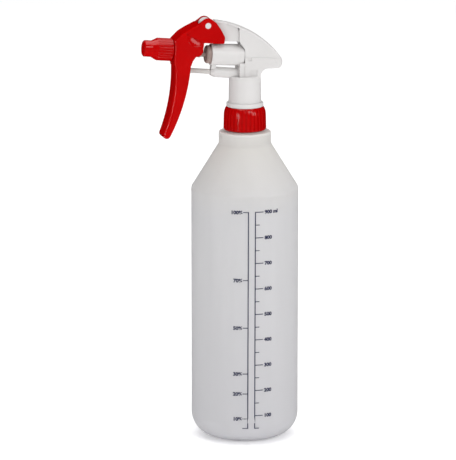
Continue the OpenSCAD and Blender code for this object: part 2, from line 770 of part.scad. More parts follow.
// Piston: hollow barrel, valve core and neck with its ball head.
module piston() {
    color(natural) pump_frame() difference() {
        union() {
            translate([0, 0, barrel_back + 2.5]) cylinder(h = barrel_len - 3.3, r = barrel_r);
            translate([0, 0, barrel_out - 0.8]) cylinder(h = 0.8, r1 = barrel_r, r2 = barrel_r - 0.8);
            translate([0, 0, barrel_back]) cylinder(h = 3, r = barrel_r - 0.6);
            translate([0, 0, barrel_out - eps]) cylinder(h = ball_out - barrel_out + eps, r = 1.9, $fn = 32);
            translate([0, 0, ball_out]) sphere(r = ball_head_r, $fn = 48);
        }
        difference() {
            translate([0, 0, barrel_back - eps]) cylinder(h = barrel_len - 2 + eps, r = hollow_r, $fn = 48);
            translate([0, 0, barrel_back + 1.5]) cylinder(h = barrel_len, r = core_r, $fn = 48);
        }
        translate([0, 0, barrel_back]) cylinder(h = barrel_len - 2.6, r = core_bore, $fn = 32);
        translate([0, 0, barrel_out - 4]) cylinder(h = 20, r = 0.9, $fn = 24);
    }
}

// Piston cup: the lip seal around the barrel's back end.
module piston_cup() {
    seat_r = barrel_r - 0.6 + 0.02;
    color(white) pump_frame() rotate_extrude() polygon([
        [seat_r, barrel_back + 2.4], [barrel_r, barrel_back + 2.4], [bore_r - fit, barrel_back + 0.4],
        [bore_r - fit, barrel_back - 0.3], [bore_r - 0.5, barrel_back - 0.3], [seat_r, barrel_back + 0.5]]);
}

// Return spring between the piston's hollow and the cylinder's back wall.
module return_spring() {
    wire = 0.42;
    back = -cyl_len + cyl_end + wire + 0.05;
    front = barrel_out - 2 - wire - 0.05;
    color(steel) pump_frame() translate([0, 0, back]) coil(hollow_r - wire - 0.3, wire, front - back, 9);
}

// Discharge seat: the ring in the piston's core that the discharge ball closes.
module discharge_seat() {
    color(white) pump_frame() translate([0, 0, seat_front - 1.7]) ring(core_bore - 0.02, out_seat_r, 1.7);
}

// Discharge ball: lets the spray out of the pump's chamber and not back.
module discharge_ball() {
    color(steel) pump_frame() translate([0, 0, out_ball_s]) sphere(r = out_ball_r, $fn = 32);
}

// Discharge spring: holds the discharge ball on its seat.
module discharge_spring() {
    wire = 0.16;
    back = out_ball_s + out_ball_r + wire + 0.05;
    front = barrel_out - 2.6 - wire - 0.05;
    color(steel) pump_frame() translate([0, 0, back]) coil(1.2, wire, front - back, 3);
}

// Inlet ball: lets liquid up into the pump and not back.
module inlet_ball() {
    color(steel) translate([0, 0, inlet_ball_z]) sphere(r = inlet_ball_r, $fn = 32);
}

// Tube holder: pressed into the inlet pipe, with the ball's seat above the dip tube's socket.
module tube_holder() {
    color(white) translate([0, 0, holder_z]) difference() {
        cylinder(h = holder_h, r = pipe_bore - 0.02, $fn = 48);
        translate([0, 0, -eps]) cylinder(h = holder_h - 3 + eps, r = dip_r + 0.02, $fn = 48);
        cylinder(h = holder_h + eps, r = ball_seat_r, $fn = 32);
    }
}

// Dip tube: from the holder down to just above the base.
module dip_tube() {
    foot = push_up + bottle_wall + dip_clear;
    color(natural) translate([0, 0, foot]) ring(dip_r, dip_r - dip_wall, holder_z + holder_h - 3.02 - foot);
}

// Vent rod: driven by the trigger to open the air way as liquid leaves.
module vent_rod() {
    color(natural) vent_frame() difference() {
        union() {
            translate([0, 0, -rod_in]) cylinder(h = rod_in + rod_out, r = rod_r, $fn = 48);
            translate([0, 0, rod_out]) sphere(r = rod_r, $fn = 48);
        }
        translate([0, 0, -rod_in + 0.6]) ring(rod_r + 1, rod_r - 0.5, 1.8);
    }
}

// Vent cup: the ring in the rod's groove that closes the vent tube.
module vent_cup() {
    color(rubber) vent_frame() translate([0, 0, -rod_in + 0.65]) ring(vent_bore - fit, rod_r - 0.48, 1.7);
}

bottle();
neck_gasket();
closure();
pump_body();
cover();
trigger();
spray_tube();
spinner();
nozzle_seal();
nozzle();
piston();
piston_cup();
return_spring();
discharge_seat();
discharge_ball();
discharge_spring();
inlet_ball();
tube_holder();
dip_tube();
vent_rod();
vent_cup();
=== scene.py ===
"""Looks of a hand mister: a graduated bottle under a red and white trigger head.

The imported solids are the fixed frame, in metres, with the bottle's axis on Z and the nozzle toward -X.
Sizes in the classes are millimetres, apart from the studio's, which are metres.
"""

from __future__ import annotations

import logging
import math
from abc import ABC, abstractmethod
from dataclasses import dataclass
from enum import Enum
from typing import Any, Sequence

import bmesh
import bpy
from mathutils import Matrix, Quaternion, Vector

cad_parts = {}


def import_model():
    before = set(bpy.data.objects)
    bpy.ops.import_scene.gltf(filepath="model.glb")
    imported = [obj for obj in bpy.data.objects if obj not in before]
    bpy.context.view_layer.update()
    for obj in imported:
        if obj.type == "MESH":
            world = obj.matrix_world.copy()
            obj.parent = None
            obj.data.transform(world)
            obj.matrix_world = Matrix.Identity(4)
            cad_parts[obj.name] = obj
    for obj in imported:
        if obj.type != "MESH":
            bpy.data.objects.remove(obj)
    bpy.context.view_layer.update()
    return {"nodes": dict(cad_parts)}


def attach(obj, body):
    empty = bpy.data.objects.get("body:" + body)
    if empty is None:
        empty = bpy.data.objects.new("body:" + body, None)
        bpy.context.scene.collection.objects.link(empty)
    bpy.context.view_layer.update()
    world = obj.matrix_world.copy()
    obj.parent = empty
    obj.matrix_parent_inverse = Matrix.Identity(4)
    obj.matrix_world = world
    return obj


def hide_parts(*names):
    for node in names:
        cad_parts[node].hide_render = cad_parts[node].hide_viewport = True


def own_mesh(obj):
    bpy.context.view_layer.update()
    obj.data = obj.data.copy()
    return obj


LOG = logging.getLogger("hand_mister")
MM = 0.001
# a noise seldom leaves this part of its range, so a pattern is spread over it
NOISE_LOW, NOISE_HIGH = 0.3, 0.7
# a hair under the solid's 41 mm, which leaves room for the print
BARREL_R = 40.97
NECK_LEAD = 4.23
NECK_THREAD_Z = 243.283

Section = list[tuple[float, float]]


class Body(Enum):
    """The bodies that new pieces ride on."""

    BOTTLE = "bottle"
    HEAD = "head"
    CLOSURE = "closure"
    TRIGGER = "trigger"
    PISTON = "piston"


class Align(Enum):
    """Which end of a text stands at its anchor."""

    LEFT = "LEFT"
    RIGHT = "RIGHT"


class SpringEnd(Enum):
    """Which end of a spring stays in its place."""

    BACK = 0
    FRONT = 1


# Shared helpers


def linear(hex_colour: str) -> tuple[float, float, float, float]:
    """Turns an sRGB hex colour into linear light.

    Args:
        hex_colour: six hex digits, such as "C0FFEE".

    Returns:
        Linear red, green and blue, with an alpha of 1.
    """
    channels = (int(hex_colour[i : i + 2], 16) / 255 for i in (0, 2, 4))
    return (*(c / 12.92 if c <= 0.04045 else ((c + 0.055) / 1.055) ** 2.4 for c in channels), 1.0)


def per_metre(size_mm: float) -> float:
    """Texture scale, in cycles per metre, of a pattern whose repeat is size_mm."""
    return 1.0 / (size_mm * MM)


def add_node(
    tree: bpy.types.NodeTree,
    kind: str,
    settings: dict[str, Any] | None = None,
    links: dict[str, bpy.types.NodeSocket] | None = None,
) -> bpy.types.Node:
    """Adds one shader node with its settings and incoming links.

    Args:
        tree: the material's node tree.
        kind: the node's type name.
        settings: properties or input sockets by name, with their values.
        links: input sockets by name, with the output sockets that feed them.

    Returns:
        The new node.
    """
    node = tree.nodes.new(kind)

    def sockets() -> dict[str, bpy.types.NodeSocket]:
        """The inputs in use, which a property can switch."""
        return {socket.name: socket for socket in node.inputs if socket.enabled}

    for name, value in (settings or {}).items():
        if name in sockets():
            sockets()[name].default_value = value
        else:
            setattr(node, name, value)
    for name, source in (links or {}).items():
        tree.links.new(source, sockets()[name])
    return node


def new_mesh_object(name: str, mesh: bmesh.types.BMesh, smooth: bool = True) -> bpy.types.Object:
    """Turns a bmesh into a scene object and frees it.

    Args:
        name: the object's name.
        mesh: the filled bmesh, in metres in the part's frame.
        smooth: whether its faces are shaded smooth.

    Returns:
        The linked object.
    """
    bmesh.ops.recalc_face_normals(mesh, faces=mesh.faces[:])
    data = bpy.data.meshes.new(name)
    mesh.to_mesh(data)
    mesh.free()
    for polygon in data.polygons:
        polygon.use_smooth = smooth
    made = bpy.data.objects.new(name, data)
    bpy.context.scene.collection.objects.link(made)
    return made


def skin_rings(
    mesh: bmesh.types.BMesh,
    rings: Sequence[Sequence[Vector]],
    closed_ring: bool = True,
    closed_run: bool = False,
    capped: bool = False,
) -> None:
    """Joins rings of points with quads.

    Args:
        mesh: the bmesh that gets the faces.
        rings: equal-length rows of points.
        closed_ring: whether the last point of a ring joins its first.
        closed_run: whether the last ring joins the first.
        capped: whether the first and last rings are filled.
    """
    rows = [[mesh.verts.new(point) for point in ring] for ring in rings]
    count = len(rows[0])
    runs = len(rows) if closed_run else len(rows) - 1
    steps = count if closed_ring else count - 1
    for i in range(runs):
        a, b = rows[i], rows[(i + 1) % len(rows)]
        for j in range(steps):
            k = (j + 1) % count
            mesh.faces.new((a[j], a[k], b[k], b[j]))
    if capped:
        mesh.faces.new(tuple(reversed(rows[0])))
        mesh.faces.new(tuple(rows[-1]))


def soften_edges(item: bpy.types.Object, width_mm: float, sharp_deg: float, segments: int) -> None:
    """Rounds an object's sharp edges with a modifier.

    Args:
        item: the object.
        width_mm: how far the rounding reaches from the edge.
        sharp_deg: the least angle between two faces that counts as an edge.
        segments: how many strips the rounding has.
    """
    bevel = item.modifiers.new("softened edges", "BEVEL")
    bevel.width = width_mm * MM
    bevel.segments = segments
    bevel.limit_method = "ANGLE"
    bevel.angle_limit = math.radians(sharp_deg)
    bevel.use_clamp_overlap = True


def even_shading(item: bpy.types.Object, weight: int) -> None:
    """Keeps large faces flat under smooth shading.

    Args:
        item: the object.
        weight: how far large faces lead, where 50 treats all faces alike.
    """
    shading = item.modifiers.new("even shading", "WEIGHTED_NORMAL")
    shading.mode = "FACE_AREA"
    shading.weight = weight


def round_z(radius: float, angle: float, height: float) -> Vector:
    """A point in metres on a cylinder round Z, with the angle in radians from +X."""
    return Vector((radius * math.cos(angle), radius * math.sin(angle), height)) * MM


def bend(middle: tuple[float, float], radius: float, degrees: tuple[float, float], steps: int) -> Section:
    """Points of an arc in a turned section.

    Args:
        middle: the arc's centre, as distance from the axis and height.
        radius: the arc's radius.
        degrees: start and end angle.
        steps: how many chords it has.

    Returns:
        Pairs of distance and height.
    """
    start, end = degrees
    turns = [math.radians(start + (end - start) * i / steps) for i in range(steps + 1)]
    return [(middle[0] + radius * math.cos(t), middle[1] + radius * math.sin(t)) for t in turns]


@dataclass(frozen=True)
class Axis:
    """A straight axis in the head's middle plane, with sizes in millimetres along and across it."""

    x: float
    z: float
    tilt_deg: float

    def forward(self) -> Vector:
        """The axis's direction."""
        tilt = math.radians(self.tilt_deg)
        return Vector((-math.cos(tilt), 0.0, math.sin(tilt)))

    def at(self, along: float, radius: float = 0.0, turn: float = 0.0) -> Vector:
        """A point in metres.

        Args:
            along: distance forward along the axis.
            radius: distance from the axis.
            turn: angle round the axis in radians, from straight up.

        Returns:
            The point in the part's frame.
        """
        tilt = math.radians(self.tilt_deg)
        up = Vector((math.sin(tilt), 0.0, math.cos(tilt)))
        across = up * math.cos(turn) + Vector((0.0, 1.0, 0.0)) * math.sin(turn)
        return (Vector((self.x, 0.0, self.z)) + self.forward() * along + across * radius) * MM


UPRIGHT = Axis(x=0.0, z=0.0, tilt_deg=90.0)
PUMP = Axis(x=-27.3, z=298.583, tilt_deg=3.5)
NOZZLE = Axis(x=-57.3, z=303.483, tilt_deg=5.5)


# Finishes


@dataclass(frozen=True)
class Bench:
    """A material in the making: its tree, its shader and the place of a point in metres."""

    tree: bpy.types.NodeTree
    shader: bpy.types.Node
    place: bpy.types.NodeSocket

    def feed(self, name: str, source: bpy.types.NodeSocket) -> None:
        """Links a source to one of the shader's sockets."""
        self.tree.links.new(source, self.shader.inputs[name])

    def hold(self, values: dict[str, Any]) -> None:
        """Sets constants on the shader's own sockets."""
        for name, value in values.items():
            self.shader.inputs[name].default_value = value

    def soak(self, weight: float, scatter_mm: tuple[float, float, float]) -> None:
        """Lets light into the plastic.

        Args:
            weight: the share of the light that goes in.
            scatter_mm: how far red, green and blue light spread inside.
        """
        self.hold({"Subsurface Weight": weight, "Subsurface Radius": scatter_mm, "Subsurface Scale": MM})


@dataclass(frozen=True)
class Finish(ABC):
    """A surface named for its material and the way that it was made.

    The slot is the record's, or empty where the record has none. The IOR of 1.5 is the shader's default.
    """

    name: str
    slot: str
    colour: str
    roughness: float
    ior: float = 1.5

    @abstractmethod
    def grade(self, bench: Bench) -> None:
        """Adds the detail that sets this finish apart.

        Args:
            bench: the material in the making.
        """

    def build(self) -> bpy.types.Material:
        """Makes the material.

        Returns:
            The material with its pattern, which lies still in the part's frame.
        """
        material = bpy.data.materials.new(self.name)
        material.use_nodes = True
        tree = material.node_tree
        tree.nodes.clear()
        shader = add_node(
            tree,
            "ShaderNodeBsdfPrincipled",
            {"Base Color": linear(self.colour), "Roughness": self.roughness, "IOR": self.ior},
        )
        add_node(tree, "ShaderNodeOutputMaterial", None, {"Surface": shader.outputs["BSDF"]})
        place = add_node(tree, "ShaderNodeTexCoord").outputs["Object"]
        self.grade(Bench(tree, shader, place))
        return material

    def sway_colour(
        self, bench: Bench, noise: bpy.types.Node, low: str, high: str
    ) -> bpy.types.NodeSocket:
        """Lets a noise sway the colour between two values.

        Args:
            bench: the material in the making.
            noise: the noise node.
            low: hex colour at the noise's low end.
            high: hex colour at its high end.

        Returns:
            The socket that gives the swaying colour, which also feeds the shader.
        """
        ramp = add_node(bench.tree, "ShaderNodeValToRGB", None, {"Fac": noise.outputs["Fac"]})
        stops = zip(ramp.color_ramp.elements, (NOISE_LOW, NOISE_HIGH), (low, high))
        for element, position, colour in stops:
            element.position = position
            element.color = linear(colour)
        bench.feed("Base Color", ramp.outputs["Color"])
        return ramp.outputs["Color"]

    def sway_roughness(self, bench: Bench, noise: bpy.types.Node, swing: float) -> None:
        """Lets a noise sway the roughness.

        Args:
            bench: the material in the making.
            noise: the noise node.
            swing: how far the roughness goes to each side.
        """
        span = add_node(
            bench.tree,
            "ShaderNodeMapRange",
            {
                "From Min": NOISE_LOW,
                "From Max": NOISE_HIGH,
                "To Min": self.roughness - swing,
                "To Max": self.roughness + swing,
            },
            {"Value": noise.outputs["Fac"]},
        )
        bench.feed("Roughness", span.outputs["Result"])


@dataclass(frozen=True)
class MouldedPlastic(Finish):
    """Injection-moulded plastic: polished tool steel leaves a gloss with a faint orange peel."""

    shade: str = ""
    flow_mm: float = 22.0
    rub_mm: float = 14.0
    rub_share: float = 0.1
    peel_mm: float = 1.6
    peel_depth_mm: float = 0.012
    peel_strength: float = 0.35
    subsurface: float = 0.0
    scatter_mm: tuple[float, float, float] = (1.0, 1.0, 1.0)

    def grade(self, bench: Bench) -> None:
        """Adds slow colour flow, an uneven gloss and the peel.

        Args:
            bench: the material in the making.
        """
        flow = add_node(
            bench.tree,
            "ShaderNodeTexNoise",
            {"Scale": per_metre(self.flow_mm), "Detail": 3.0, "Roughness": 0.5},
            {"Vector": bench.place},
        )
        self.sway_colour(bench, flow, self.shade or self.colour, self.colour)
        rub = add_node(
            bench.tree,
            "ShaderNodeTexNoise",
            {"Scale": per_metre(self.rub_mm), "Detail": 1.0, "Roughness": 0.4},
            {"Vector": bench.place},
        )
        self.sway_roughness(bench, rub, self.roughness * self.rub_share)
        peel = add_node(
            bench.tree,
            "ShaderNodeTexNoise",
            {"Scale": per_metre(self.peel_mm), "Detail": 2.0},
            {"Vector": bench.place},
        )
        bump = add_node(
            bench.tree,
            "ShaderNodeBump",
            {"Strength": self.peel_strength, "Distance": self.peel_depth_mm * MM},
            {"Height": peel.outputs["Fac"]},
        )
        bench.feed("Normal", bump.outputs["Normal"])
        bench.soak(self.subsurface, self.scatter_mm)


@dataclass(frozen=True)
class BlownBottle(Finish):
    """Natural polyethylene, blow-moulded: milky, satin, with a wall that is a little uneven and painted
    shade at the heel.
    """

    thin: str = "DAD9DD"
    neck: str = "E4E0DC"
    neck_span_mm: tuple[float, float] = (176.0, 226.0)
    # painted shade: the heel's colour is darker and greyer, where less light reaches the foot
    painted_heel_shade: str = "D3D2D8"
    painted_heel_shade_span_mm: tuple[float, float] = (150.0, 0.0)
    streak_mm: float = 14.0
    streak_squeeze: float = 0.12
    haze_mm: float = 3.0
    haze_swing: float = 0.05
    ripple_mm: float = 9.0
    ripple_depth_mm: float = 0.05
    ripple_strength: float = 0.3
    subsurface: float = 0.5
    scatter_mm: tuple[float, float, float] = (9.0, 9.0, 9.5)

    def tint_and_shade_by_height(self, bench: Bench, colour: bpy.types.NodeSocket) -> None:
        """Blends the colour into a warmer neck and into a darker, greyer heel, which is painted shade.

        Args:
            bench: the material in the making.
            colour: the socket that gives the barrel's colour.
        """
        height = add_node(bench.tree, "ShaderNodeSeparateXYZ", None, {"Vector": bench.place})
        # the colour turns warmer towards the neck, and the heel is painted darker and greyer as shade,
        # where less light reaches the foot
        for warmth_and_shade, (start, end) in ((self.neck, self.neck_span_mm), (self.painted_heel_shade, self.painted_heel_shade_span_mm)):
            share = add_node(
                bench.tree,
                "ShaderNodeMapRange",
                {"From Min": start * MM, "From Max": end * MM},
                {"Value": height.outputs["Z"]},
            )
            mix = add_node(
                bench.tree,
                "ShaderNodeMix",
                {"data_type": "RGBA", "B": linear(warmth_and_shade)},
                {"Factor": share.outputs["Result"], "A": colour},
            )
            colour = next(socket for socket in mix.outputs if socket.enabled)
        bench.feed("Base Color", colour)

    def grade(self, bench: Bench) -> None:
        """Adds streaks of wall thickness, the warmer neck and the painted shade at the heel, a satin haze
        and ripples.

        Args:
            bench: the material in the making.
        """
        # the parison is drawn out upward, so its streaks are long and upright
        stretch = add_node(
            bench.tree,
            "ShaderNodeMapping",
            {"Scale": (1.0, 1.0, self.streak_squeeze)},
            {"Vector": bench.place},
        )
        streak = add_node(
            bench.tree,
            "ShaderNodeTexNoise",
            {"Scale": per_metre(self.streak_mm), "Detail": 3.0, "Roughness": 0.45},
            {"Vector": stretch.outputs["Vector"]},
        )
        self.tint_and_shade_by_height(bench, self.sway_colour(bench, streak, self.thin, self.colour))
        haze = add_node(
            bench.tree,
            "ShaderNodeTexNoise",
            {"Scale": per_metre(self.haze_mm), "Detail": 4.0, "Roughness": 0.6},
            {"Vector": bench.place},
        )
        self.sway_roughness(bench, haze, self.haze_swing)
        ripple = add_node(
            bench.tree,
            "ShaderNodeTexNoise",
            {"Scale": per_metre(self.ripple_mm), "Detail": 2.0},
            {"Vector": stretch.outputs["Vector"]},
        )
        bump = add_node(
            bench.tree,
            "ShaderNodeBump",
            {"Strength": self.ripple_strength, "Distance": self.ripple_depth_mm * MM},
            {"Height": ripple.outputs["Fac"]},
        )
        bench.feed("Normal", bump.outputs["Normal"])
        bench.soak(self.subsurface, self.scatter_mm)


@dataclass(frozen=True)
class DrawnSteel(Finish):
    """Stainless steel, drawn or ball-polished: bright, with an uneven polish."""

    # real draw lines are finer, and are drawn this coarse so that they show
    scratch_mm: float = 0.25
    scratch_swing: float = 0.08

    def grade(self, bench: Bench) -> None:
        """Adds the metal and its uneven polish.

        Args:
            bench: the material in the making.
        """
        bench.hold({"Metallic": 1.0})
        draw = add_node(
            bench.tree,
            "ShaderNodeTexNoise",
            {"Scale": per_metre(self.scratch_mm), "Detail": 3.0},
            {"Vector": bench.place},
        )
        self.sway_roughness(bench, draw, self.scratch_swing)


@dataclass(frozen=True)
class MouldedRubber(Finish):
    """Nitrile rubber, press-moulded: black, dull, with a dusty bloom."""

    bloom: str = "2C2C2D"
    bloom_mm: float = 1.8

    def grade(self, bench: Bench) -> None:
        """Adds the patchy bloom.

        Args:
            bench: the material in the making.
        """
        dust = add_node(
            bench.tree,
            "ShaderNodeTexNoise",
            {"Scale": per_metre(self.bloom_mm), "Detail": 4.0, "Roughness": 0.6},
            {"Vector": bench.place},
        )
        self.sway_colour(bench, dust, self.colour, self.bloom)


@dataclass(frozen=True)
class PrintedInk(Finish):
    """Screen-printing ink on polyethylene: dense navy, thinner where the mesh left less of it."""

    thin: str = "282D5A"
    # a real screen's mesh is finer, and its grain is drawn this coarse so that it shows
    grain_mm: float = 0.9

    def grade(self, bench: Bench) -> None:
        """Adds the grain of thin spots.

        Args:
            bench: the material in the making.
        """
        grain = add_node(
            bench.tree,
            "ShaderNodeTexNoise",
            {"Scale": per_metre(self.grain_mm), "Detail": 3.0, "Roughness": 0.6},
            {"Vector": bench.place},
        )
        self.sway_colour(bench, grain, self.colour, self.thin)


class Stock(Enum):
    """The finishes that the pieces are made of."""

    # dense pigment under a polished skin: a deep red with small, bright highlights
    RED_PP = MouldedPlastic(
        name="red polypropylene, injection-moulded gloss",
        slot="red_plastic",
        colour="BA0203",
        roughness=0.12,
        ior=1.49,
        shade="AE0203",
    )
    # white pigment in a half-clear plastic: bright, with broad highlights and soft shaded edges
    WHITE_PP = MouldedPlastic(
        name="white polypropylene, injection-moulded",
        slot="white_plastic",
        colour="D8D6D5",
        roughness=0.3,
        ior=1.49,
        shade="D4D2D1",
        subsurface=0.15,
        scatter_mm=(1.6, 1.5, 1.5),
    )
    # no pigment and a waxy skin: a pale, dull grey that light goes some way into
    NATURAL_PE = MouldedPlastic(
        name="natural low-density polyethylene, injection-moulded",
        slot="natural_plastic",
        colour="CBC8C5",
        roughness=0.42,
        ior=1.51,
        shade="C2BFBC",
        subsurface=0.3,
        scatter_mm=(2.0, 1.8, 1.6),
    )
    # a dense, slippery plastic, satin; its warm grey is painted shade with a painted reflection of the red
    # trigger, darker than the white pump
    ACETAL = MouldedPlastic(
        name="natural acetal, injection-moulded, in painted shade",
        slot="natural_plastic",
        colour="A5928C",
        roughness=0.38,
        ior=1.48,
        shade="998680",
        subsurface=0.2,
    )
    # a thin milky wall: light soaks in and comes out even, under a faint satin sheen
    BOTTLE_PE = BlownBottle(
        name="natural high-density polyethylene, blow-moulded",
        slot="bottle_plastic",
        colour="DFDEE2",
        roughness=0.46,
        ior=1.54,
    )
    # drawn through a die or tumbled: a bright grey mirror, a little blurred
    STEEL = DrawnSteel(
        name="stainless steel, drawn and polished", slot="spring_steel", colour="C9CACC", roughness=0.22
    )
    # carbon-filled and pressed: nearly black, with no clear highlight
    RUBBER = MouldedRubber(
        name="nitrile rubber, press-moulded", slot="seal_rubber", colour="151516", roughness=0.72, ior=1.52
    )
    # a thin opaque film: dark blue, as dull as the wall under it
    INK = PrintedInk(
        name="navy screen-printing ink on polyethylene", slot="", colour="11153F", roughness=0.5
    )

    def material(self) -> bpy.types.Material:
        """The finish's one material, made at its first use."""
        return bpy.data.materials.get(self.value.name) or self.value.build()


def coat(item: bpy.types.Object, stock: Stock) -> bpy.types.Object:
    """Gives an object one finish.

    Args:
        item: the object.
        stock: its finish.

    Returns:
        The same object.
    """
    item.data.materials.clear()
    item.data.materials.append(stock.material())
    return item


def seat(piece: bpy.types.Object, body: Body, stock: Stock) -> bpy.types.Object:
    """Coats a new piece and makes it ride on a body.

    Args:
        piece: the new piece.
        body: the body that it moves with.
        stock: its finish.

    Returns:
        The same piece.
    """
    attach(coat(piece, stock), body.value)
    return piece


# Kinds of piece


@dataclass(frozen=True)
class CadPiece:
    """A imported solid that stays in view, with softened edges and its finish."""

    node: str
    stock: Stock
    edge_mm: float = 0.25
    sharp_deg: float = 32.0
    segments: int = 2
    weld_mm: float = 0.002
    flat_deg: float = 0.2
    shading_weight: int = 90

    def dress(self, nodes: dict[str, bpy.types.Object]) -> bpy.types.Object:
        """Rounds the solid's sharp edges with modifiers and coats it.

        Args:
            nodes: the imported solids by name.

        Returns:
            The dressed solid.
        """
        item = coat(nodes[self.node], self.stock)
        for polygon in item.data.polygons:
            polygon.use_smooth = True
        weld = item.modifiers.new("weld", "WELD")
        weld.merge_threshold = self.weld_mm * MM
        flats = item.modifiers.new("whole flats", "DECIMATE")
        flats.decimate_type = "DISSOLVE"
        flats.angle_limit = math.radians(self.flat_deg)
        if self.edge_mm > 0:
            soften_edges(item, self.edge_mm, self.sharp_deg, self.segments)
        even_shading(item, self.shading_weight)
        return item


@dataclass(frozen=True)
class ScrewThread:
    """A right-handed moulded thread whose ends run out into the wall."""

    name: str
    axis: Axis
    body: Body
    stock: Stock
    wall_r: float
    crest_r: float
    start: float
    turns: float
    lead: float
    root_w: float
    crest_w: float
    sunk: float = 0.15
    steps_per_turn: int = 48
    run_out_steps: int = 14
    least_rise: float = 0.02
    edge_mm: float = 0.12
    sharp_deg: float = 35.0

    def ring(self, step: int, steps: int) -> list[Vector]:
        """The ridge's four corners at one step.

        Args:
            step: the step along the thread.
            steps: how many steps the whole thread has.

        Returns:
            Points in metres, of which the first and last lie inside the wall.
        """
        turned = self.turns * step / steps
        along = self.start + self.lead * turned
        rise = min(1.0, min(step, steps - step) / self.run_out_steps + self.least_rise)
        crest = self.wall_r + (self.crest_r - self.wall_r) * rise
        root = self.wall_r - math.copysign(self.sunk, self.crest_r - self.wall_r)
        half_root, half_crest = self.root_w / 2, self.crest_w / 2
        corners = ((root, -half_root), (crest, -half_crest), (crest, half_crest), (root, half_root))
        return [self.axis.at(along + side, radius, 2 * math.pi * turned) for radius, side in corners]

    def build(self) -> bpy.types.Object:
        """Builds, coats and seats the thread.

        Returns:
            One closed ridge that starts a little inside its wall.
        """
        mesh = bmesh.new()
        steps = round(self.turns * self.steps_per_turn)
        skin_rings(mesh, [self.ring(step, steps) for step in range(steps + 1)], capped=True)
        ridge = seat(new_mesh_object(self.name, mesh), self.body, self.stock)
        soften_edges(ridge, self.edge_mm, self.sharp_deg, segments=2)
        return ridge


@dataclass(frozen=True)
class WireSpring:
    """A compression spring of round wire with closed ends.

    Back and front are where the wire's middle starts and ends along the pump's axis. The closed pitch, and
    what grinding leaves beyond that middle at each end, are in wire radii.
    """

    node: str
    body: Body
    joint: str
    stroke: float
    back: float
    front: float
    mean_r: float
    wire_r: float
    turns: float
    closed_turns: float
    held: SpringEnd
    closed_pitch: float = 2.04
    ground: float = 0.7
    steps_per_turn: int = 32
    sides: int = 12

    def ends(self) -> tuple[float, float]:
        """Where the flat-ground ends lie along the axis."""
        return self.back - self.ground * self.wire_r, self.front + self.ground * self.wire_r

    def lift(self, turned: float) -> float:
        """Distance of the wire's middle from the back end.

        Args:
            turned: turns from the back end.

        Returns:
            The distance, which grows slowly in the closed turns and evenly between them.
        """
        pitch = self.closed_pitch * self.wire_r
        open_turns = self.turns - 2 * self.closed_turns
        open_pitch = (self.front - self.back - 2 * self.closed_turns * pitch) / open_turns
        before = min(turned, self.closed_turns)
        between = min(max(turned - self.closed_turns, 0.0), open_turns)
        after = max(0.0, turned - self.turns + self.closed_turns)
        return (before + after) * pitch + between * open_pitch

    def ring(self, turned: float) -> list[Vector]:
        """The wire's outline at one place.

        Args:
            turned: turns from the back end.

        Returns:
            Points in metres, cut flat at both ends of the spring.
        """
        low, high = self.ends()
        middle = self.back + self.lift(turned)
        points = []
        for side in range(self.sides):
            face = 2 * math.pi * side / self.sides
            along = min(max(middle + self.wire_r * math.sin(face), low), high)
            points.append(PUMP.at(along, self.mean_r + self.wire_r * math.cos(face), 2 * math.pi * turned))
        return points

    def build(self) -> bpy.types.Object:
        """Builds, coats and seats the spring in place of its solid.

        Returns:
            One unbroken coil with flat-ground ends.
        """
        mesh = bmesh.new()
        steps = round(self.turns * self.steps_per_turn)
        skin_rings(mesh, [self.ring(self.turns * i / steps) for i in range(steps + 1)], capped=True)
        coil = seat(new_mesh_object(self.node + "_coil", mesh), self.body, Stock.STEEL)
        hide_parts(self.node)
        anchor = PUMP.at(self.ends()[self.held.value])
        tuple(PUMP.forward())
        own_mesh(coil)
        return coil


